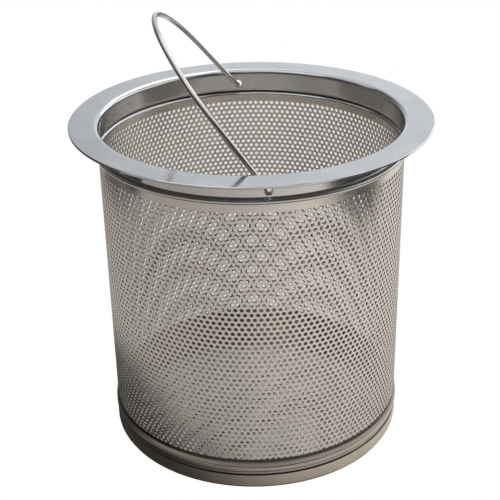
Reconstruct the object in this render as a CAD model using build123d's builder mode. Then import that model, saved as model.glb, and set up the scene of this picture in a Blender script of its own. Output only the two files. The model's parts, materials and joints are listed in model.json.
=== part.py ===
"""Basket strainer: a perforated steel basket with a flanged collar, a roll-formed base rim and a wire bail.

Origin at the centre of the base on the surface that the basket stands on, +Z up, bail pivot along Y, millimetres.
"""

import os

from build123d import *

os.makedirs("parts", exist_ok=True)

# Overall size
TOTAL_HEIGHT = 169.0
FLANGE_RADIUS = 90.0

# Collar: one sheet drawn into a flange, a neck, a stiffening bead and a short skirt
COLLAR_SHEET = 1.2
NECK_RADIUS = 75.8  # middle of the sheet
NECK_BEND = 2.1  # middle of the sheet, where the flange turns down
FLANGE_EDGE = 0.5
BEAD_DEPTH = 12.2  # bead corner below the flange top
BEAD_RISE = 0.75  # from the bead's corner up to the neck: almost a shelf
BEAD_FALL = 1.85  # from the bead's corner down to the skirt
BEAD_REACH = 3.2  # corner of the bead outside the neck, before rounding
BEAD_ROOT = 0.9
BEAD_NOSE = 0.7
COLLAR_DEPTH = 14.6

# Perforated sheet of the wall and of the bottom
WALL_RADIUS = 76.3  # outside
WALL_SHEET = 0.5
BOTTOM_SHEET = 1.0
BOTTOM_PLAY = 0.1

# Base rim: a band with two beads above a recess, swaged in to the wall on top and turned in under the bottom
RIM_HEIGHT = 16.2
RIM_LIP_TOP = 14.3
RIM_LIP_RADIUS = 76.85
RIM_RADIUS = 76.95
RIM_BEAD_RADIUS = 77.2
RIM_RECESS_RADIUS = 76.65
RIM_BAND_TOP = 6.8
RIM_RECESS_TOP = 9.4
RIM_GROOVE_BOTTOM = 11.7
RIM_GROOVE_TOP = 12.2
RIM_LEDGE_SHEET = 0.8
RIM_LEDGE_RADIUS = 71.0
RIM_ROUNDING = 0.25
RIM_FOOT_ROUNDING = 0.7

# Bail: one loop of wire whose ends turn out through two holes in the neck
WIRE_RADIUS = 1.25
BAIL_TILT = 37.7  # from upright, towards -X
NECK_HOLE_RADIUS = 2.2
NECK_HOLE_DEPTH = 7.9  # hole centre below the flange top
PIVOT_PLAY = 0.1  # between the wire and the bottom of its hole
BAIL_TIP = 78.9
BAIL_FOOT = 74.2
BAIL_SHOULDER = (60.5, 45.1)
BAIL_CROWN = (27.8, 73.5)
FOOT_BEND = 2.6
SHOULDER_BEND = 55.0
CROWN_BEND = 72.0
TIP_ROUNDING = 0.6

# Heights that follow from the sizes above
flange_middle = TOTAL_HEIGHT - COLLAR_SHEET / 2
bead_height = TOTAL_HEIGHT - BEAD_DEPTH
collar_bottom = TOTAL_HEIGHT - COLLAR_DEPTH
wall_bottom = RIM_LEDGE_SHEET + BOTTOM_SHEET
hole_height = TOTAL_HEIGHT - NECK_HOLE_DEPTH
pivot_height = hole_height - NECK_HOLE_RADIUS + PIVOT_PLAY + WIRE_RADIUS


with BuildPart() as flange_collar:
    with BuildSketch(Plane.XZ) as collar_section:
        with BuildLine():
            FilletPolyline(
                (FLANGE_RADIUS, flange_middle),
                (NECK_RADIUS, flange_middle),
                (NECK_RADIUS, bead_height + BEAD_RISE),
                (NECK_RADIUS + BEAD_REACH, bead_height),
                (NECK_RADIUS, bead_height - BEAD_FALL),
                (NECK_RADIUS, collar_bottom),
                radius=(NECK_BEND, BEAD_ROOT, BEAD_NOSE, BEAD_ROOT),
            )
        trace(line_width=COLLAR_SHEET)
        fillet(collar_section.vertices().group_by(Axis.X)[-1], radius=FLANGE_EDGE)
    revolve(axis=Axis.Z)
    with BuildSketch(Plane.XZ.offset(-FLANGE_RADIUS)):
        with Locations((0, hole_height)):
            Circle(NECK_HOLE_RADIUS)
    extrude(amount=2 * FLANGE_RADIUS, mode=Mode.SUBTRACT)
flange_collar.part.label = "flange_collar"
export_step(flange_collar.part, "parts/flange_collar.step")

# The wall and the bottom stand for perforated sheet as plain sheet of the same size.
with BuildPart() as perforated_wall:
    with BuildSketch(Plane.XY.offset(wall_bottom)):
        Circle(WALL_RADIUS)
        Circle(WALL_RADIUS - WALL_SHEET, mode=Mode.SUBTRACT)
    extrude(amount=collar_bottom - wall_bottom)
perforated_wall.part.label = "perforated_wall"
export_step(perforated_wall.part, "parts/perforated_wall.step")

with BuildPart() as perforated_bottom:
    with BuildSketch(Plane.XY.offset(RIM_LEDGE_SHEET)):
        Circle(WALL_RADIUS - BOTTOM_PLAY)
    extrude(amount=BOTTOM_SHEET)
perforated_bottom.part.label = "perforated_bottom"
export_step(perforated_bottom.part, "parts/perforated_bottom.step")

with BuildPart() as base_rim:
    with BuildSketch(Plane.XZ) as rim_section:
        with BuildLine():
            Polyline(
                (WALL_RADIUS, RIM_HEIGHT),
                (RIM_LIP_RADIUS, RIM_LIP_TOP),
                (RIM_BEAD_RADIUS, RIM_GROOVE_TOP),
                (RIM_RECESS_RADIUS, RIM_GROOVE_TOP),
                (RIM_RECESS_RADIUS, RIM_GROOVE_BOTTOM),
                (RIM_BEAD_RADIUS, RIM_GROOVE_BOTTOM),
                (RIM_BEAD_RADIUS, RIM_RECESS_TOP),
                (RIM_RECESS_RADIUS, RIM_RECESS_TOP),
                (RIM_RECESS_RADIUS, RIM_BAND_TOP),
                (RIM_RADIUS, RIM_BAND_TOP),
                (RIM_RADIUS, 0),
                (RIM_LEDGE_RADIUS, 0),
                (RIM_LEDGE_RADIUS, RIM_LEDGE_SHEET),
                (WALL_RADIUS, RIM_LEDGE_SHEET),
                close=True,
            )
        make_face()
        foot_corner = rim_section.vertices().group_by(Axis.X)[-2].sort_by(Axis.Y)[0]
        fillet(foot_corner, radius=RIM_FOOT_ROUNDING)
        band_corner = rim_section.vertices().group_by(Axis.X)[-2].sort_by(Axis.Y)[-1]
        fillet(band_corner, radius=RIM_ROUNDING)
        fillet(rim_section.vertices().group_by(Axis.X)[-1], radius=RIM_ROUNDING)
    revolve(axis=Axis.Z)
base_rim.part.label = "base_rim"
export_step(base_rim.part, "parts/base_rim.step")

# Plane of the bail: x along the pivot, y up the arms
bail_plane = Plane(
    origin=(0, 0, pivot_height),
    x_dir=(0, 1, 0),
    z_dir=Vector(1, 0, 0).rotate(Axis.Y, -BAIL_TILT),
)
half_path = [(BAIL_CROWN[0], BAIL_CROWN[1]), BAIL_SHOULDER, (BAIL_FOOT, 0), (BAIL_TIP, 0)]
other_half = [(-x, y) for x, y in reversed(half_path)]

with BuildPart() as bail_handle:
    with BuildLine(bail_plane) as bail_path:
        FilletPolyline(
            *other_half,
            *half_path,
            radius=(FOOT_BEND, SHOULDER_BEND, CROWN_BEND, CROWN_BEND, SHOULDER_BEND, FOOT_BEND),
        )
    with BuildSketch(Plane(origin=(0, -BAIL_TIP, pivot_height), z_dir=(0, 1, 0))):
        Circle(WIRE_RADIUS)
    sweep(path=bail_path.wires()[0])
    fillet(bail_handle.edges().group_by(Axis.Y)[0], radius=TIP_ROUNDING)
    fillet(bail_handle.edges().group_by(Axis.Y)[-1], radius=TIP_ROUNDING)
bail_handle.part.label = "bail_handle"
export_step(bail_handle.part, "parts/bail_handle.step")
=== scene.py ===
"""Looks of the basket strainer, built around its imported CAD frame. Metres, +Z up, bail pivot along Y."""

import json
import math

import bmesh
import bpy
import numpy as np
from mathutils import Matrix, Vector
from mathutils.geometry import delaunay_2d_cdt


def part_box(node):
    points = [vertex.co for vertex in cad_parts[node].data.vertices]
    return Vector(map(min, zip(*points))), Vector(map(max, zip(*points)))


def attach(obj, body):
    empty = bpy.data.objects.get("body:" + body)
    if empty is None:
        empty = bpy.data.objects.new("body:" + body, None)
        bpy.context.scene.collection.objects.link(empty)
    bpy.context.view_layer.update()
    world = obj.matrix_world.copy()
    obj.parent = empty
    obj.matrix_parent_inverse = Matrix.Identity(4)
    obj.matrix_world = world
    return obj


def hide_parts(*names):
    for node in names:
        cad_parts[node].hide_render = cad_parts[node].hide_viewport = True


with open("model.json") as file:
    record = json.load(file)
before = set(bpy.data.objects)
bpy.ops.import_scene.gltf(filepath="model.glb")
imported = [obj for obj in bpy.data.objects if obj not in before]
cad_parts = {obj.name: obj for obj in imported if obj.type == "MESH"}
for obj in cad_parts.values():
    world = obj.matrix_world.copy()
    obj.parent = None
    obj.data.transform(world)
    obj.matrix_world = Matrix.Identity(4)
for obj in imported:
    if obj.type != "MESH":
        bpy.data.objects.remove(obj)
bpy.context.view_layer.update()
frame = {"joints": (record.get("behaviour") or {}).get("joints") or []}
MM = 0.001

# Sizes that the frame gives
collar_low, collar_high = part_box("flange_collar")
wall_low, wall_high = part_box("perforated_wall")
bottom_low, bottom_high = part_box("perforated_bottom")
rim_low, rim_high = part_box("base_rim")
pivot_height = frame["joints"][0]["pos_m"][2]
flange_top = collar_high.z
flange_radius = collar_high.x
wall_radius = wall_high.x

# Sheet and perforation
COLLAR_SHEET = 1.2 * MM
WALL_SHEET = 0.5 * MM
HOLE_RADIUS = 1.04 * MM
HOLE_PITCH = 3.0 * MM
BOTTOM_HOLE_RADIUS = 0.75 * MM
HOLE_SIDES = 12
WALL_COLUMNS = 159
WALL_QUARTERS = 4
WALL_ROWS = 53
FIRST_ROW_DEPTH = 19.3 * MM  # below the flange's top
LAST_ROW_HEIGHT = 16.5 * MM  # above the base
PATTERN_TURN = math.radians(1.0)
BOTTOM_PATTERN_RADIUS = 69 * MM
BOTTOM_EDGE_SIDES = 256

# Perforation of the wall that follows from the sizes above
first_row = flange_top - FIRST_ROW_DEPTH
row_gap = (first_row - LAST_ROW_HEIGHT) / (WALL_ROWS - 1)
column_turn = 2 * math.pi / WALL_COLUMNS
quarter_turn = 2 * math.pi / WALL_QUARTERS

# Place of each sheet in the picture that its material is baked to: the sheet's two sides lie side by side
BAKE_LAYER = "OFBake"
BAKE_HALF = 0.5
BAKE_MARGIN = 0.01
WALL_BAKE_WIDTH = 0.47
WALL_BAKE_HEIGHT = 0.97
BOTTOM_BAKE_RADIUS = (0.23, 0.46)

# Corners of the wall that agree to one part of these are the same point
KEYS_PER_COLUMN = 10000
KEYS_PER_METRE = 1e8

# Shading and fineness of the meshes
LATHE_STEPS = 384
BEND_STEP = 6.0
RIM_BEND_STEP = 15.0
BAIL_BEND_STEP = 2.0
SHARP_ANGLE = 35.0
WIRE_SHARP_ANGLE = 60.0
ON_TURNED_SURFACE = 0.8
ON_ROLLED_SHEET = 0.9
LONGEST_STRETCH = 1.5 * MM
SHEET_EDGE_ROUNDING = 0.3 * MM

# Collar section, middle of the sheet
NECK_RADIUS = 75.8 * MM
NECK_BEND = 2.1 * MM
BEAD_DEPTH = 12.2 * MM
BEAD_RISE = 0.75 * MM
BEAD_FALL = 1.85 * MM
BEAD_REACH = 3.2 * MM
BEAD_ROOT = 0.9 * MM
BEAD_NOSE = 0.7 * MM
NECK_HOLE_RADIUS = 2.2 * MM
NECK_HOLE_DEPTH = 7.9 * MM

# Rim section from its top edge down and round the foot, in mm: radius and height of each corner, and its bend
RIM_SECTION = (
    (76.6, 14.3, 0.5),
    (77.2, 12.4, 0.25),
    (76.6, 11.95, 0.12),
    (77.2, 11.6, 0.25),
    (77.2, 9.4, 0.5),
    (76.45, 8.8, 0.6),
    (76.45, 7.6, 0.3),
    (76.95, 6.8, 0.35),
    (76.95, 0, 0.9),
    (71, 0, 0.2),
    (71, 0.8, 0.2),
)
RIM_HEIGHT = 16.2 * MM
RIM_LEDGE = 0.8 * MM
RIM_LEDGE_BEND = 0.1 * MM
RIM_PLAY = 0.01 * MM

# Bail wire
WIRE_RADIUS = 1.25 * MM
WIRE_SIDES = 28
WIRE_STEP = 2 * MM
WIRE_CAP_TURNS = (0.25, 0.6, 1.0, 1.4)
WIRE_FIRST_ACROSS = (0.3, 0.5, 0.8)
BAIL_TILT = 37.7
BAIL_TIP = 78.9 * MM
BAIL_CORNERS = ((27.8 * MM, 73.5 * MM), (60.5 * MM, 45.1 * MM), (74.2 * MM, 0.0))
BAIL_BENDS = (72 * MM, 55 * MM, 2.6 * MM)

# Steels: colour, roughness, streaks and mottle
COLLAR_STEEL = ((0.7, 0.71, 0.72), 0.13, 0.5, 0.3)
WALL_STEEL = ((0.8, 0.765, 0.725), 0.22, 0.3, 0.35)
BOTTOM_STEEL = ((0.76, 0.73, 0.7), 0.2, 0.3, 0.4)
RIM_STEEL = ((0.74, 0.69, 0.63), 0.14, 0.4, 0.45)
WIRE_STEEL = ((0.66, 0.65, 0.64), 0.2, 0.3, 0.3)

# All steels: scale of the streaks round and across, range of the clouds, and what mottle does to the tone
STREAK_ROUND = 1.2
STREAK_ACROSS = 2200.0
STREAK_DETAIL = 5
CLOUD_SCALE = 55
CLOUD_DETAIL = 4
CLOUD_RANGE = (0.3, 0.7)
TONE_RANGE = (0.35, 0.65)
MOTTLE_DARKER = 0.22
MOTTLE_WARMER = (0.12, 0.08, -0.02)
STREAK_BUMP = 0.12
STREAK_DEPTH = 0.02 * MM

# Where the other finishes and the painted underside shade are: along the normal, and in height from the rim's
# top
HOLE_WALL_FACING = 0.7
UNDERSIDE_FACING = (-0.3, -0.7)
MARGIN_FADE = (-2 * MM, 1 * MM)
ABOVE_BOTTOM = 0.01 * MM

# Other finishes and painted shade: colour and roughness
LOW_MARGIN_TONE = ((0.36, 0.33, 0.3), 0.14)
SHEARED = ((0.4, 0.38, 0.36), 0.4)
# Painted shade on the collar's undersides, with a duller gloss
UNDERSIDE_SHADE = ((0.16, 0.15, 0.14), 0.35)
# Painted shade in the rim's creases and at its top edge, lighter over its bead and lip
CREASE_SHADE = ((0.03, 0.027, 0.024), 0.25)
CREASE_SHADE_LEVELS = (  # height in mm and share of painted shade
    (6.6, 0),
    (6.95, 0.9),
    (7.4, 0.9),
    (7.9, 0.2),
    (8.9, 0.2),
    (9.2, 0.85),
    (9.6, 0.85),
    (9.9, 0.15),
    (11.5, 0.15),
    (11.95, 0.7),
    (12.4, 0.35),
    (14.1, 0.5),
    (14.5, 0.9),
    (16.2, 0.95),
)

# Camera
CAMERA_TURN = -5.3
CAMERA_DISTANCE = 519.24 * MM
CAMERA_HEIGHT = 353.72 * MM
CAMERA_PITCH = 26.54
CAMERA_YAW = -0.197
CAMERA_ROLL = -1.163
CAMERA_LENS = 79.45
CAMERA_SENSOR = 36
CAMERA_CLIP = 0.01

# Studio: the table that the steel reflects, the basket's shade painted on it beside the basket, and its
# painted dimming to left and back
TABLE_EDGE = (
    (-0.6, -0.55),
    (0.3, -0.55),
    (0.345, -0.03),
    (0.42, 0.05),
    (0.6, 0.1),
    (0.6, 0.9),
    (-0.2, 0.9),
    (-0.2, 0.45),
    (-0.34, 0.13),
    (-0.42, -0.03),
    (-0.6, -0.06),
)
TABLE_HEIGHT = -0.2 * MM
TABLE_COLOUR = (0.9, 0.84, 0.78)
TABLE_GLOW = 0.22
TABLE_DIM_X = (-0.36, 0.18)
TABLE_DIM = 0.56
TABLE_BACK_Y = (0.3, 0.5)
TABLE_BACK = 0.5
# Painted shadow of the basket on the table
SHADE_COLOUR = (0.1, 0.088, 0.076)
SHADE_CENTRE = (-50 * MM, 5 * MM, 0)
SHADE_INSIDE = 64 * MM
SHADE_OUTSIDE = 124 * MM

# Studio: floor, sleeve of dim paper round the wall, room and lamps
FLOOR_REACH = 2
FLOOR_HEIGHT = -0.5 * MM
# Colour of the dark floor past the table, and the painted shade under the basket
DARK_FLOOR_AND_SHADE_COLOUR = (0.04, 0.04, 0.04)
PAPER_ROUGHNESS = 0.9
VEIL_COLOUR = (0.69, 0.675, 0.65)
VEIL_STEPS = 128
VEIL_START = 12 * MM  # above the wall's foot
VEIL_GAP = 0.05 * MM
ROOM_DEPTH = (  # from the front, 0, to the back, 1
    (0.0, (0.03, 0.03, 0.03)),
    (0.15, (0.035, 0.035, 0.035)),
    (0.3, (0.1, 0.1, 0.1)),
    (0.5, (0.14, 0.14, 0.145)),
    (0.58, (0.3, 0.31, 0.33)),
    (0.75, (0.68, 0.71, 0.75)),
    (1.0, (0.74, 0.77, 0.81)),
)
ROOM_SIDES = ((0.0, 0.1), (0.25, 0.12), (0.36, 0.4), (0.42, 0.55), (0.5, 0.86), (0.58, 0.98))
HORIZON_COLOUR = (0.13, 0.13, 0.135)
HORIZON_LEVELS = ((0.49, 0), (0.52, 1), (0.6, 1), (0.69, 0))
LAMPS = (  # name, place, width, height and power
    ("window", (0.85, 0.3, 0.9), 2.2, 1.7, 7),
    ("ceiling", (-0.05, 0.2, 1.1), 2.0, 1.4, 4),
    ("front", (-0.4, -0.6, 1.4), 1.6, 1.2, 3),
)


def rounded_path(corners, radii, step_angle=BEND_STEP):
    """The 2-D path through corners, with each inner corner rounded to its radius."""
    corners = [np.array(c, float) for c in corners]
    path = [corners[0]]
    for before, corner, after, radius in zip(corners, corners[1:], corners[2:], radii):
        into = (corner - before) / np.linalg.norm(corner - before)
        out = (after - corner) / np.linalg.norm(after - corner)
        turn = math.acos(np.clip(into @ out, -1, 1))
        side = np.sign(into[0] * out[1] - into[1] * out[0])
        start = corner - into * radius * math.tan(turn / 2)
        centre = start + side * radius * np.array([-into[1], into[0]])
        steps = max(2, math.ceil(math.degrees(turn) / step_angle))
        for k in range(steps + 1):
            x, y = start - centre
            cos, sin = math.cos(side * turn * k / steps), math.sin(side * turn * k / steps)
            path.append(centre + [x * cos - y * sin, x * sin + y * cos])
    path.append(corners[-1])
    return path


def subdivided(path, longest):
    """The same path with no stretch longer than longest."""
    points = [path[0]]
    for a, b in zip(path, path[1:]):
        pieces = max(1, math.ceil(np.linalg.norm(b - a) / longest))
        points += [a + (b - a) * k / pieces for k in range(1, pieces + 1)]
    return points


def sheet_section(path, thickness, rounding):
    """Closed outline of a sheet that follows path, with rounded edges at both ends."""
    path = np.array(path)
    along = np.gradient(path, axis=0)
    along /= np.linalg.norm(along, axis=1)[:, None]
    across = np.stack([-along[:, 1], along[:, 0]], 1) * thickness / 2
    left, right = path + across, path - across
    flat = 1 - 2 * rounding / thickness
    cap_end = [path[-1] + s * across[-1] * flat for s in (1, -1)]
    left[-1] -= along[-1] * rounding
    right[-1] -= along[-1] * rounding
    cap_start = [path[0] + s * across[0] * flat for s in (-1, 1)]
    left[0] += along[0] * rounding
    right[0] += along[0] * rounding
    return [*left, *cap_end, *right[::-1], *cap_start]


def linked(name, mesh):
    """A new object of the scene that shows mesh."""
    piece = bpy.data.objects.new(name, mesh)
    bpy.context.scene.collection.objects.link(piece)
    return piece


def mesh_object(name, vertices, faces, sharp_angle=SHARP_ANGLE):
    """A new object whose faces shade smooth, apart from edges sharper than sharp_angle."""
    mesh = bpy.data.meshes.new(name)
    mesh.from_pydata(vertices, [], faces)
    shade(mesh, sharp_angle)
    return linked(name, mesh)


def shade(mesh, sharp_angle):
    form = bmesh.new()
    form.from_mesh(mesh)
    bmesh.ops.recalc_face_normals(form, faces=form.faces)
    limit = math.radians(sharp_angle)
    for face in form.faces:
        face.smooth = True
    for edge in form.edges:
        edge.smooth = len(edge.link_faces) == 2 and edge.calc_face_angle(0) < limit
    form.to_mesh(mesh)
    form.free()


def lathe(name, outline):
    """A closed outline of (radius, height) turned round Z."""
    outline = np.array(outline)
    n = len(outline)
    turns = np.linspace(0, 2 * math.pi, LATHE_STEPS, endpoint=False)
    ring = np.stack([np.cos(turns), np.sin(turns)], 1)
    xy = ring[:, None, :] * outline[None, :, :1]
    z = np.broadcast_to(outline[None, :, 1:], (LATHE_STEPS, n, 1))
    vertices = np.concatenate([xy, z], 2).reshape(-1, 3)
    faces = []
    for k in range(LATHE_STEPS):
        here, there = k * n, (k + 1) % LATHE_STEPS * n
        faces += [(here + i, there + i, there + (i + 1) % n, here + (i + 1) % n) for i in range(n)]
    piece = mesh_object(name, vertices.tolist(), faces)
    turned_normals(piece.data, outline)
    return piece


def turned_normals(mesh, outline):
    """Shades each face as the turned outline itself, so that flats stay flat between rounded corners."""
    start, end = outline, np.roll(outline, -1, axis=0)
    along = end - start
    length = np.linalg.norm(along, axis=1)
    along = along / length[:, None]
    normal = np.stack([along[:, 1], -along[:, 0]], 1)
    if (start[:, 0] * end[:, 1] - end[:, 0] * start[:, 1]).sum() < 0:
        normal = -normal
    before = np.roll(normal, 1, axis=0)
    mixed = normal * length[:, None] ** 2 + before * np.roll(length, 1)[:, None] ** 2
    mixed /= np.linalg.norm(mixed, axis=1)[:, None]
    smooth = ((normal * before).sum(1) > math.cos(math.radians(SHARP_ANGLE)))[:, None]
    at_start = np.where(smooth, mixed, normal)
    at_end = np.where(np.roll(smooth, -1, axis=0), np.roll(mixed, -1, axis=0), normal)

    centre = read(mesh.polygons, "center", 3)
    sizes = read(mesh.polygons, "loop_total", 1)
    flat_centre = np.stack([np.hypot(centre[:, 0], centre[:, 1]), centre[:, 2]], 1)
    part = np.clip(((flat_centre[:, None] - start) * along).sum(2), 0, length)
    gap = np.linalg.norm(flat_centre[:, None] - start - along * part[:, :, None], axis=2)
    segment = np.repeat(gap.argmin(1), sizes)
    point = read(mesh.vertices, "co", 3)[read(mesh.loops, "vertex_index", 1)]
    radius = np.hypot(point[:, 0], point[:, 1])
    flat = np.stack([radius, point[:, 2]], 1)
    t = np.clip(((flat - start[segment]) * along[segment]).sum(1) / length[segment], 0, 1)[:, None]
    blend = at_start[segment] * (1 - t) + at_end[segment] * t
    turned = np.concatenate([point[:, :2] / radius[:, None] * blend[:, :1], blend[:, 1:]], 1)
    turned /= np.linalg.norm(turned, axis=1)[:, None]
    own = corner_normals(mesh)
    on_surface = (own * turned).sum(1) > ON_TURNED_SURFACE
    mesh.normals_split_custom_set(np.where(on_surface[:, None], turned, own).tolist())


def corner_normals(mesh):
    """Each face's own normal, once for each of its corners."""
    return np.repeat(read(mesh.polygons, "normal", 3), read(mesh.polygons, "loop_total", 1), axis=0)


def read(items, name, width):
    values = np.zeros(len(items) * width, np.int32 if width == 1 else np.float32)
    items.foreach_get(name, values)
    return values.reshape(-1, width) if width > 1 else values


def carve(piece, cutter):
    """Cuts cutter out of piece for good."""
    cut = piece.modifiers.new("cut", "BOOLEAN")
    cut.object = cutter
    cut.solver = "EXACT"
    graph = bpy.context.evaluated_depsgraph_get()
    carved = bpy.data.meshes.new_from_object(piece.evaluated_get(graph))
    piece.modifiers.clear()
    piece.data = carved
    bpy.data.objects.remove(cutter)
    shade(carved, SHARP_ANGLE)


def make_collar():
    """The drawn sheet of flange, neck, bead and skirt, with the bail's two holes."""
    middle = flange_top - COLLAR_SHEET / 2
    bead = flange_top - BEAD_DEPTH
    corners = (
        (flange_radius, middle),
        (NECK_RADIUS, middle),
        (NECK_RADIUS, bead + BEAD_RISE),
        (NECK_RADIUS + BEAD_REACH, bead),
        (NECK_RADIUS, bead - BEAD_FALL),
        (NECK_RADIUS, collar_low.z),
    )
    path = rounded_path(corners, (NECK_BEND, BEAD_ROOT, BEAD_NOSE, BEAD_ROOT))
    section = sheet_section(subdivided(path, LONGEST_STRETCH), COLLAR_SHEET, SHEET_EDGE_ROUNDING)
    collar = lathe("flange_collar_sheet", section)
    carve(collar, cylinder_along_y(NECK_HOLE_RADIUS, flange_radius, flange_top - NECK_HOLE_DEPTH))
    turned_normals(collar.data, np.array(section))
    return collar


def cylinder_along_y(radius, half_length, height, sides=48):
    turns = [2 * math.pi * k / sides for k in range(sides)]
    ring = [(radius * math.cos(t), height + radius * math.sin(t)) for t in turns]
    vertices = [(x, y, z) for y in (-half_length, half_length) for x, z in ring]
    faces = [(k, (k + 1) % sides, sides + (k + 1) % sides, sides + k) for k in range(sides)]
    faces += [tuple(range(sides)), tuple(range(2 * sides - 1, sides - 1, -1))]
    return mesh_object("cutter", vertices, faces)


class Sheet:
    """A mesh that grows face by face. Its corners carry a key, a place and a place in the baked picture."""

    def __init__(self, name):
        self.name = name
        self.lookup = {}
        self.places = []
        self.faces = []
        self.maps = []

    def add(self, corners, turned_over=False):
        if turned_over:
            corners = corners[::-1]
        for key, place, _ in corners:
            if key not in self.lookup:
                self.lookup[key] = len(self.places)
                self.places.append(place)
        self.faces.append([self.lookup[key] for key, _, _ in corners])
        self.maps += [value for _, _, spot in corners for value in spot]

    def made(self, rolled):
        """The sheet's object. A rolled one shades as the whole cylinder, so that the quarters meet unseen."""
        mesh = bpy.data.meshes.new(self.name)
        mesh.from_pydata(self.places, [], self.faces)
        mesh.polygons.foreach_set("use_smooth", np.ones(len(mesh.polygons), bool))
        mesh.uv_layers.new(name=BAKE_LAYER).data.foreach_set("uv", self.maps)
        normal = corner_normals(mesh)
        if rolled:
            radial = read(mesh.vertices, "co", 3)[read(mesh.loops, "vertex_index", 1)] * [1, 1, 0]
            radial /= np.linalg.norm(radial, axis=1)[:, None]
            facing = (normal * radial).sum(1)
            on_sheet = np.abs(facing) > ON_ROLLED_SHEET
            normal[on_sheet] = radial[on_sheet] * np.sign(facing[on_sheet])[:, None]
        mesh.normals_split_custom_set(normal.tolist())
        return linked(self.name, mesh)


def hole_ring(radius):
    """The corners of a punched hole about its own centre."""
    turns = [2 * math.pi * k / HOLE_SIDES for k in range(HOLE_SIDES)]
    return [(radius * math.cos(t), radius * math.sin(t)) for t in turns]


def wall_corner(quarter, turn, height, side, mapped=None):
    """A point of a quarter's outer side, 0, or inner side, 1. A narrow face is mapped elsewhere."""
    radius = wall_radius - side * WALL_SHEET
    angle = turn + PATTERN_TURN
    turn_key = round(turn / column_turn * KEYS_PER_COLUMN) % (WALL_COLUMNS * KEYS_PER_COLUMN)
    key = (turn_key, round(height * KEYS_PER_METRE), side)
    picture_turn, picture_height = mapped or (turn, height)
    picture_side = 0 if mapped else side
    across = picture_turn / quarter_turn - quarter
    spot = (
        BAKE_MARGIN + WALL_BAKE_WIDTH * across + BAKE_HALF * picture_side,
        BAKE_MARGIN + WALL_BAKE_HEIGHT * picture_height / wall_high.z,
    )
    return key, (radius * math.cos(angle), radius * math.sin(angle), height), spot


def add_hole(sheet, quarter, turn, height):
    """One hole, the six-sided piece of sheet round it on both sides, and its sheared wall."""
    middle_radius = wall_radius - WALL_SHEET / 2
    hole_edge = [(across / middle_radius, up) for across, up in hole_ring(HOLE_RADIUS)]
    cell = ((1, 1), (0, 2), (-1, 1), (-1, -1), (0, -2), (1, -1))
    cell_edge = [(column_turn / 2 * x, row_gap / 3 * y) for x, y in cell]
    for side in (0, 1):
        hole = [wall_corner(quarter, turn + t, height + h, side) for t, h in hole_edge]
        outer = [wall_corner(quarter, turn + t, height + h, side) for t, h in cell_edge]
        for k in range(len(cell)):
            m = 2 * k + 1
            arc = [hole[(m + 2) % HOLE_SIDES], hole[(m + 1) % HOLE_SIDES], hole[m]]
            sheet.add([outer[k], outer[(k + 1) % len(cell)], *arc], side == 1)
    for pair in zip(hole_edge, hole_edge[1:] + hole_edge[:1]):
        near = [wall_corner(quarter, turn + t, height + h, 0) for t, h in pair]
        far = [
            wall_corner(quarter, turn + t, height + h, 1, (turn + t / 2, height + h / 2))
            for t, h in pair[::-1]
        ]
        sheet.add(near + far)


def add_margin(sheet, quarter, turn, height, way, edge):
    """One column's share of the plain margin from a last row to the edge, which lies up, 1, or down, -1."""
    steps = ((turn - column_turn / 2, 1), (turn, 2), (turn + column_turn / 2, 1))
    for (t0, s0), (t1, s1) in zip(steps, steps[1:]):
        h0, h1 = (height + way * s * row_gap / 3 for s in (s0, s1))
        outline = ((t0, h0), (t1, h1), (t1, edge), (t0, edge))
        for side in (0, 1):
            face = [wall_corner(quarter, t, h, side) for t, h in outline]
            sheet.add(face, (side == 0) != (way == 1))
        near = [wall_corner(quarter, t, edge, 0) for t in (t0, t1)]
        far = [wall_corner(quarter, t, edge, 1, (t, edge + way * WALL_SHEET)) for t in (t1, t0)]
        sheet.add(near + far, way == -1)


def perforated_wall():
    """The rolled sheet as four quarters, each a sheet with real holes between two plain margins."""
    sheets = [Sheet(f"perforated_wall_{k + 1}") for k in range(WALL_QUARTERS)]
    columns = [(column, column * WALL_QUARTERS // WALL_COLUMNS) for column in range(WALL_COLUMNS)]
    for row in range(WALL_ROWS):
        for column, quarter in columns:
            turn = (column + row % 2 / 2) * column_turn
            add_hole(sheets[quarter], quarter, turn, first_row - row * row_gap)
    margins = ((0, first_row, 1, wall_high.z), (WALL_ROWS - 1, LAST_ROW_HEIGHT, -1, wall_low.z))
    for row, height, way, edge in margins:
        for column, quarter in columns:
            turn = (column + row % 2 / 2) * column_turn
            add_margin(sheets[quarter], quarter, turn, height, way, edge)
    return [sheet.made(rolled=True) for sheet in sheets]


def bottom_loops():
    """The disc's edge and then its staggered holes, each as a ring of 2-D points."""
    turns = np.linspace(0, 2 * math.pi, BOTTOM_EDGE_SIDES, endpoint=False)
    loops = [[(bottom_high.x * math.cos(t), bottom_high.x * math.sin(t)) for t in turns]]
    gap = HOLE_PITCH * math.sqrt(3) / 2
    rows = int(BOTTOM_PATTERN_RADIUS / gap)
    columns = int(BOTTOM_PATTERN_RADIUS / HOLE_PITCH) + 1
    for row in range(-rows, rows + 1):
        for column in range(-columns, columns + 1):
            x, y = (column + row % 2 / 2) * HOLE_PITCH, row * gap
            if math.hypot(x, y) <= BOTTOM_PATTERN_RADIUS:
                loops.append([(x + across, y + up) for across, up in hole_ring(BOTTOM_HOLE_RADIUS)])
    return loops


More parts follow.
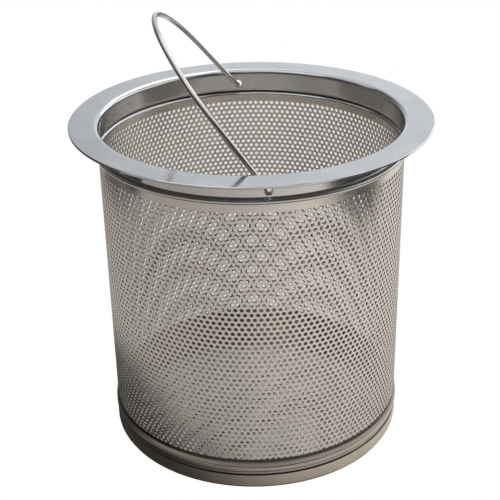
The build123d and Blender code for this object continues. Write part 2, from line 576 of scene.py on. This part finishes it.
def perforated_bottom():
    """The flat disc with its staggered holes, as one closed sheet."""
    flat, edges, holes = [], [], []
    for loop in bottom_loops():
        n, start = len(loop), len(flat)
        flat += [Vector(p) for p in loop]
        edges += [(start + k, start + (k + 1) % n) for k in range(n)]
        holes.append([start + k for k in range(n)])
    out, _, triangles, *_ = delaunay_2d_cdt(flat, edges, [], 1, 1e-7, False)
    owner = {v: k for k, hole in enumerate(holes) for v in hole}
    kept = [t for t in triangles if not (owner[t[0]] == owner[t[1]] == owner[t[2]] != 0)]
    sheet = Sheet("perforated_bottom_disc")

    def corner(v, side, centre=None):
        """Point v of the disc's under side, 0, or top, 1, and its place in the baked picture."""
        place = out[v]
        mapped = (place if centre is None else centre.lerp(place, 0.5)) / bottom_high.x
        middle = BAKE_HALF / 2 + (BAKE_HALF * side if centre is None else 0)
        spot = (middle + BOTTOM_BAKE_RADIUS[0] * mapped.x, BAKE_HALF + BOTTOM_BAKE_RADIUS[1] * mapped.y)
        return (v, side), (place.x, place.y, (bottom_low.z, bottom_high.z)[side]), spot

    for triangle in kept:
        for side in (0, 1):
            sheet.add([corner(v, side) for v in triangle], side == 0)
    for k, hole in enumerate(holes):
        centre = sum((out[v] for v in hole), Vector((0, 0))) / len(hole) if k else None
        for a, b in zip(hole, hole[1:] + hole[:1]):
            if k:
                sheet.add([corner(b, 0), corner(a, 0), corner(a, 1, centre), corner(b, 1, centre)])
            else:
                sheet.add([corner(a, 0), corner(b, 0), corner(b, 1), corner(a, 1)])
    return sheet.made(rolled=False)


def make_rim():
    """The roll-formed band round the foot: swaged top, lip, groove, bead, recess and plain foot band."""
    inner = wall_radius + RIM_PLAY
    section = [(radius * MM, height * MM) for radius, height, _ in RIM_SECTION]
    corners = [(inner, RIM_HEIGHT), *section, (inner, RIM_LEDGE), (inner, RIM_HEIGHT)]
    bends = [bend * MM for _, _, bend in RIM_SECTION] + [RIM_LEDGE_BEND]
    return lathe("base_rim_band", rounded_path(corners, bends, RIM_BEND_STEP)[:-1])


def tube(name, path, radius, sides):
    """A round wire along a 3-D path, with domed ends."""
    path = np.array(path)
    along = np.gradient(path, axis=0)
    along /= np.linalg.norm(along, axis=1)[:, None]
    cap = [(math.sin(a), -math.cos(a) / 2) for a in WIRE_CAP_TURNS]
    rings = [(path[0] + along[0] * radius * past, along[0], radius * size) for size, past in cap]
    rings += [(p, d, radius) for p, d in zip(path, along)]
    rings += [(path[-1] - along[-1] * radius * past, along[-1], radius * size) for size, past in cap[::-1]]
    across = np.cross(along[0], WIRE_FIRST_ACROSS)
    vertices, faces = [], []
    for centre, direction, size in rings:
        across = across - direction * (across @ direction)
        across /= np.linalg.norm(across)
        third = np.cross(direction, across)
        for k in range(sides):
            t = 2 * math.pi * k / sides
            vertices.append(tuple(centre + size * (math.cos(t) * across + math.sin(t) * third)))
    for r in range(len(rings) - 1):
        for k in range(sides):
            n = (k + 1) % sides
            faces.append((r * sides + k, r * sides + n, (r + 1) * sides + n, (r + 1) * sides + k))
    last = (len(rings) - 1) * sides
    faces += [tuple(range(sides)), tuple(last + k for k in range(sides))]
    return mesh_object(name, vertices, faces, WIRE_SHARP_ANGLE)


def make_bail():
    """The loop of wire whose ends turn out through the neck's holes."""
    half = [*BAIL_CORNERS, (BAIL_TIP, 0.0)]
    corners = [(-x, y) for x, y in reversed(half)] + half
    flat = rounded_path(corners, [*reversed(BAIL_BENDS), *BAIL_BENDS], BAIL_BEND_STEP)
    tilt = math.radians(BAIL_TILT)
    steps = subdivided(flat, WIRE_STEP)
    path = [(-v * math.sin(tilt), u, pivot_height + v * math.cos(tilt)) for u, v in steps]
    return tube("bail_wire", path, WIRE_RADIUS, WIRE_SIDES)


class Tree:
    """The nodes of a material or of the world. Methods take numbers, colours and the outputs of nodes."""

    def __init__(self, owner):
        owner.use_nodes = True
        self.nodes = owner.node_tree.nodes
        self.links = owner.node_tree.links

    def feed(self, socket, value):
        if isinstance(value, bpy.types.NodeSocket):
            self.links.new(value, socket)
        else:
            socket.default_value = value

    def output(self, kind, name):
        return self.nodes.new(kind).outputs[name]

    def math(self, operation, *values):
        node = self.nodes.new("ShaderNodeMath")
        node.operation = operation
        for socket, value in zip(node.inputs, values):
            self.feed(socket, value)
        return node.outputs["Value"]

    def vector(self, operation, *values):
        node = self.nodes.new("ShaderNodeVectorMath")
        node.operation = operation
        for socket, value in zip(node.inputs, values):
            self.feed(socket, value)
        return node.outputs["Value" if operation in ("LENGTH", "DISTANCE", "DOT_PRODUCT") else "Vector"]

    def scaled(self, value, scale):
        node = self.nodes.new("ShaderNodeVectorMath")
        node.operation = "SCALE"
        self.feed(node.inputs[0], value)
        self.feed(node.inputs["Scale"], scale)
        return node.outputs["Vector"]

    def split(self, value):
        node = self.nodes.new("ShaderNodeSeparateXYZ")
        self.feed(node.inputs[0], value)
        return node.outputs

    def spread(self, value, low, high, to_low=0, to_high=1, easing="LINEAR"):
        """Value, taken from the range low to high to the range to_low to to_high."""
        node = self.nodes.new("ShaderNodeMapRange")
        node.interpolation_type = easing
        names = ("Value", "From Min", "From Max", "To Min", "To Max")
        for name, number in zip(names, (value, low, high, to_low, to_high)):
            self.feed(node.inputs[name], number)
        return node.outputs["Result"]

    def ramp(self, share, stops):
        node = self.nodes.new("ShaderNodeValToRGB")
        elements = node.color_ramp.elements
        while len(elements) < len(stops):
            elements.new(0.5)
        for element, (position, colour) in zip(elements, stops):
            element.position = position
            element.color = (*colour, 1)
        self.feed(node.inputs["Fac"], share)
        return node.outputs["Color"]

    def noise(self, place, scale, detail):
        node = self.nodes.new("ShaderNodeTexNoise")
        for name, value in (("Vector", place), ("Scale", scale), ("Detail", detail)):
            self.feed(node.inputs[name], value)
        return node.outputs["Fac"]

    def mix(self, kind, share, first, second, blend="MIX"):
        node = self.nodes.new("ShaderNodeMix")
        node.data_type = kind
        node.blend_type = blend
        self.feed(node.inputs["Factor"], share)
        sockets = [socket for socket in node.inputs if socket.enabled and socket.name in "AB"]
        for socket, value in zip(sockets, (first, second)):
            self.feed(socket, value)
        return next(socket for socket in node.outputs if socket.enabled)

    def blended(self, share, tone, gloss, finish):
        """Tone and gloss, mixed with another finish's colour and roughness by share."""
        colour, roughness = finish
        return self.mix("RGBA", share, tone, (*colour, 1)), self.mix("FLOAT", share, gloss, roughness)

    def either(self, share, first, second):
        """The first shader, mixed with the second by share."""
        node = self.nodes.new("ShaderNodeMixShader")
        for socket, value in zip(node.inputs, (share, first, second)):
            self.feed(socket, value)
        return node.outputs["Shader"]

    def emission(self, colour):
        node = self.nodes.new("ShaderNodeEmission")
        node.inputs["Color"].default_value = (*colour, 1)
        return node.outputs["Emission"]


def steel(name, colour, roughness, streaks, mottle, finishes=()):
    """Stainless steel with fine streaks round the axis and mottle, cloudy patches of tone and gloss."""
    material = bpy.data.materials.new(name)
    tree = Tree(material)
    shader = tree.nodes["Principled BSDF"]
    shader.inputs["Metallic"].default_value = 1
    place = tree.output("ShaderNodeTexCoord", "Object")
    grain = tree.noise(brushing(tree, place), 1.0, STREAK_DETAIL)
    cloud = tree.noise(place, CLOUD_SCALE, CLOUD_DETAIL)
    glossiest, dullest = (roughness * (1 + change - streaks) for change in (-mottle, mottle))
    patches = tree.spread(cloud, *CLOUD_RANGE, glossiest, dullest)
    gloss = tree.math("MULTIPLY_ADD", grain, 2 * roughness * streaks, patches)
    darker = [c * (1 - MOTTLE_DARKER * mottle) for c in colour]
    warmer = [min(1, c * (1 + w * mottle)) for c, w in zip(colour, MOTTLE_WARMER)]
    worn = tree.math("MULTIPLY_ADD", grain, streaks, tree.math("SUBTRACT", cloud, streaks / 2))
    tone = tree.ramp(worn, tuple(zip(TONE_RANGE, (darker, warmer))))
    for finish in finishes:
        tone, gloss = finish(tree, place, tone, gloss)
    tree.feed(shader.inputs["Base Color"], tone)
    tree.feed(shader.inputs["Roughness"], gloss)
    bump = tree.nodes.new("ShaderNodeBump")
    bump.inputs["Strength"].default_value = STREAK_BUMP
    bump.inputs["Distance"].default_value = STREAK_DEPTH * streaks
    tree.feed(bump.inputs["Height"], grain)
    tree.feed(shader.inputs["Normal"], bump.outputs["Normal"])
    return material


def brushing(tree, place):
    """Coordinates that are drawn out round Z: slow with the turn, quick with radius and height."""
    flat = tree.vector("MULTIPLY", place, (1, 1, 0))
    slow = tree.scaled(tree.vector("NORMALIZE", flat), STREAK_ROUND)
    reach = tree.math("ADD", tree.vector("LENGTH", flat), tree.split(place)["Z"])
    upward = tree.nodes.new("ShaderNodeCombineXYZ")
    tree.feed(upward.inputs["Z"], tree.math("MULTIPLY", reach, STREAK_ACROSS))
    return tree.vector("ADD", slow, upward.outputs["Vector"])


def margin_tint(tree, place, tone, gloss):
    """The plain margin inside the rim, given a darker tone and the mill's gloss."""
    height = tree.split(place)["Z"]
    rise = tree.spread(height, *(rim_high.z + shift for shift in MARGIN_FADE))
    inside = tree.math("GREATER_THAN", height, bottom_high.z + ABOVE_BOTTOM)
    faded = tree.math("SUBTRACT", inside, rise)
    faded.node.use_clamp = True
    return tree.blended(faded, tone, gloss, LOW_MARGIN_TONE)


def painted_crease_shade(tree, place, tone, gloss):
    """Painted shade: dark bands where the rim's top meets the wall, along its groove and at the edges of its
    recess, with lighter painted shade over the bead and the lip.
    """
    climb = tree.spread(tree.split(place)["Z"], 0, rim_high.z)
    stops = [(height * MM / rim_high.z, (share, share, share)) for height, share in CREASE_SHADE_LEVELS]
    return tree.blended(tree.ramp(climb, stops), tone, gloss, CREASE_SHADE)


def rolled_holes(tree, place, tone, gloss):
    """Dull, sheared hole walls in the rolled sheet."""
    outward = tree.vector("NORMALIZE", tree.vector("MULTIPLY", place, (1, 1, 0)))
    return punched(tree, outward, tone, gloss)


def flat_holes(tree, _, tone, gloss):
    """Dull, sheared hole walls in the flat disc."""
    return punched(tree, (0, 0, 1), tone, gloss)


def punched(tree, outward, tone, gloss):
    """The sheared wall of each hole: where the surface faces along the sheet instead of outward."""
    match = tree.vector("DOT_PRODUCT", outward, tree.output("ShaderNodeNewGeometry", "True Normal"))
    edge = tree.math("LESS_THAN", tree.math("ABSOLUTE", match), HOLE_WALL_FACING)
    return tree.blended(edge, tone, gloss, SHEARED)


def painted_underside_shade(tree, place, tone, gloss):
    """Painted shade on the downward-facing underside of the flange and of the bead, which is also made
    duller.
    """
    upward = tree.split(tree.output("ShaderNodeNewGeometry", "Normal"))["Z"]
    downward = tree.spread(upward, *UNDERSIDE_FACING)
    radius = tree.vector("LENGTH", tree.vector("MULTIPLY", place, (1, 1, 0)))
    outside = tree.math("GREATER_THAN", radius, NECK_RADIUS + COLLAR_SHEET / 2)
    return tree.blended(tree.math("MULTIPLY", downward, outside), tone, gloss, UNDERSIDE_SHADE)


def make_camera():
    turn = Matrix.Rotation(math.radians(CAMERA_TURN), 3, "Z")
    pitch, yaw, roll = (math.radians(a) for a in (CAMERA_PITCH, CAMERA_YAW, CAMERA_ROLL))
    forward = Vector((math.sin(yaw) * math.cos(pitch), math.cos(yaw) * math.cos(pitch), -math.sin(pitch)))
    right = Vector((math.cos(yaw), -math.sin(yaw), 0))
    up = right.cross(forward)
    tilted_right = right * math.cos(roll) + up * math.sin(roll)
    tilted_up = up * math.cos(roll) - right * math.sin(roll)
    basis = turn @ Matrix((tilted_right, tilted_up, -forward)).transposed()
    place = turn @ Vector((0, -CAMERA_DISTANCE, CAMERA_HEIGHT))
    lens = bpy.data.cameras.new("camera")
    lens.lens = CAMERA_LENS
    lens.sensor_width = CAMERA_SENSOR
    lens.clip_start = CAMERA_CLIP
    camera = linked("camera", lens)
    camera.matrix_world = Matrix.Translation(place) @ basis.to_4x4()
    bpy.context.scene.camera = camera


def make_studio():
    """A pale table and floor, a window on the right, soft lamps overhead and a room dim in front."""
    make_floor()
    make_table()
    make_veil()
    make_room()
    for settings in LAMPS:
        make_lamp(*settings)
    bpy.context.scene.view_settings.view_transform = "Standard"


def staged(name, outline, height, colour):
    """A flat stage piece, its material's tree and its shader."""
    piece = mesh_object(name, [(x, y, height) for x, y in outline], [tuple(range(len(outline)))])
    paint = bpy.data.materials.new("pale_" + name)
    tree = Tree(paint)
    shader = tree.nodes["Principled BSDF"]
    shader.inputs["Base Color"].default_value = (*colour, 1)
    shader.inputs["Roughness"].default_value = PAPER_ROUGHNESS
    piece.data.materials.append(paint)
    return piece, tree, shader


def make_floor():
    """White where the camera sees it past the basket; dark under the basket, as painted shade, and dark past
    the table's edge.
    """
    outline = [(x * FLOOR_REACH, y * FLOOR_REACH) for x, y in ((-1, -1), (1, -1), (1, 1), (-1, 1))]
    _, tree, shader = staged("floor", outline, FLOOR_HEIGHT, DARK_FLOOR_AND_SHADE_COLOUR)
    place = tree.nodes.new("ShaderNodeNewGeometry")
    outside = tree.math("GREATER_THAN", tree.vector("LENGTH", place.outputs["Position"]), wall_radius)
    seen = tree.math("MULTIPLY", outside, tree.output("ShaderNodeLightPath", "Is Camera Ray"))
    above = tree.either(seen, shader.outputs["BSDF"], tree.emission((1, 1, 1)))
    clear = tree.output("ShaderNodeBsdfTransparent", "BSDF")
    both_sides = tree.either(place.outputs["Backfacing"], above, clear)
    tree.feed(tree.nodes["Material Output"].inputs["Surface"], both_sides)


def make_table():
    """The warm pale table that the steel reflects, with the basket's close shade painted on its left, painted
    dimming to the left and back, and a faint glow of its own.
    """
    table, tree, shader = staged("table", TABLE_EDGE, TABLE_HEIGHT, TABLE_COLOUR)
    table.visible_camera = False
    place = tree.output("ShaderNodeNewGeometry", "Position")
    reach = tree.vector("DISTANCE", place, SHADE_CENTRE)
    fade = tree.spread(reach, SHADE_INSIDE, SHADE_OUTSIDE, easing="SMOOTHSTEP")
    tones = tree.ramp(fade, ((0.0, SHADE_COLOUR), (1.0, TABLE_COLOUR)))
    parts = tree.split(place)
    side_dim = tree.spread(parts["X"], *TABLE_DIM_X, TABLE_DIM, 1)
    back_dim = tree.spread(parts["Y"], *TABLE_BACK_Y, 1, TABLE_BACK)
    dimmed = tree.scaled(tones, tree.math("MULTIPLY", side_dim, back_dim))
    tree.feed(shader.inputs["Base Color"], dimmed)
    tree.feed(shader.inputs["Emission Color"], dimmed)
    shader.inputs["Emission Strength"].default_value = TABLE_GLOW


def make_veil():
    """Dims the white seen through the far holes: a sleeve round the wall that shows only from inside."""
    low, high = wall_low.z + VEIL_START, wall_high.z
    radius = wall_radius + VEIL_GAP
    turns = np.linspace(0, 2 * math.pi, VEIL_STEPS, endpoint=False)
    vertices = [(radius * math.cos(t), radius * math.sin(t), z) for t in turns for z in (low, high)]
    n = len(vertices)
    faces = [(k, k + 1, (k + 3) % n, (k + 2) % n) for k in range(0, n, 2)]
    mesh = bpy.data.meshes.new("veil")
    mesh.from_pydata(vertices, [], faces)
    veil = linked("veil", mesh)
    paper = bpy.data.materials.new("dim_paper")
    tree = Tree(paper)
    outer_side = tree.output("ShaderNodeNewGeometry", "Backfacing")
    clear = tree.output("ShaderNodeBsdfTransparent", "BSDF")
    shown = tree.either(outer_side, tree.emission(VEIL_COLOUR), clear)
    tree.feed(tree.nodes["Material Output"].inputs["Surface"], shown)
    mesh.materials.append(paper)
    for ray in ("diffuse", "glossy", "transmission", "volume_scatter", "shadow"):
        setattr(veil, "visible_" + ray, False)


def make_room():
    """Bright at the back, dim in front and on the left, with a dim horizon, and white to the camera."""
    world = bpy.data.worlds.new("room")
    bpy.context.scene.world = world
    tree = Tree(world)
    parts = tree.split(tree.output("ShaderNodeTexCoord", "Generated"))
    sides = [(position, (level, level, level)) for position, level in ROOM_SIDES]
    levels = [(position, HORIZON_COLOUR if lit else (0, 0, 0)) for position, lit in HORIZON_LEVELS]
    depth = tree.ramp(tree.spread(parts["Y"], -1, 1), ROOM_DEPTH)
    across = tree.ramp(tree.spread(parts["X"], -1, 1), sides)
    horizon = tree.ramp(tree.spread(parts["Z"], -1, 1), levels)
    tint = tree.mix("RGBA", 1, depth, across, "MULTIPLY")
    room = tree.nodes["Background"]
    tree.feed(room.inputs["Color"], tree.vector("ADD", tint, horizon))
    white = tree.nodes.new("ShaderNodeBackground")
    white.inputs["Color"].default_value = (1, 1, 1, 1)
    seen = tree.output("ShaderNodeLightPath", "Is Camera Ray")
    shown = tree.either(seen, room.outputs["Background"], white.outputs["Background"])
    tree.feed(tree.nodes["World Output"].inputs["Surface"], shown)


def make_lamp(name, place, width, height, power):
    data = bpy.data.lights.new(name, "AREA")
    data.shape = "RECTANGLE"
    data.size = width
    data.size_y = height
    data.energy = power
    light = linked(name, data)
    light.location = place
    aim = Vector((0, 0, flange_top / 2)) - Vector(place)
    light.rotation_euler = aim.to_track_quat("-Z", "Y").to_euler()


def put_on(piece, body, node, material):
    piece.data.materials.clear()
    piece.data.materials.append(material)
    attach(piece, body)
    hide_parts(node)


make_camera()
make_studio()
# The collar's steel carries painted shade on its undersides
collar_steel = steel("collar_steel", *COLLAR_STEEL, [painted_underside_shade])
sheet_steel = steel("perforated_steel", *WALL_STEEL, [margin_tint, rolled_holes])
disc_steel = steel("disc_steel", *BOTTOM_STEEL, [flat_holes])
# The rim's steel carries painted shade in its creases and over its lip
rim_steel = steel("rim_steel", *RIM_STEEL, [painted_crease_shade])
wire_steel = steel("wire_steel", *WIRE_STEEL)
put_on(make_collar(), "basket", "flange_collar", collar_steel)
for quarter_piece in perforated_wall():
    put_on(quarter_piece, "basket", "perforated_wall", sheet_steel)
put_on(perforated_bottom(), "basket", "perforated_bottom", disc_steel)
put_on(make_rim(), "basket", "base_rim", rim_steel)
put_on(make_bail(), "bail", "bail_handle", wire_steel)
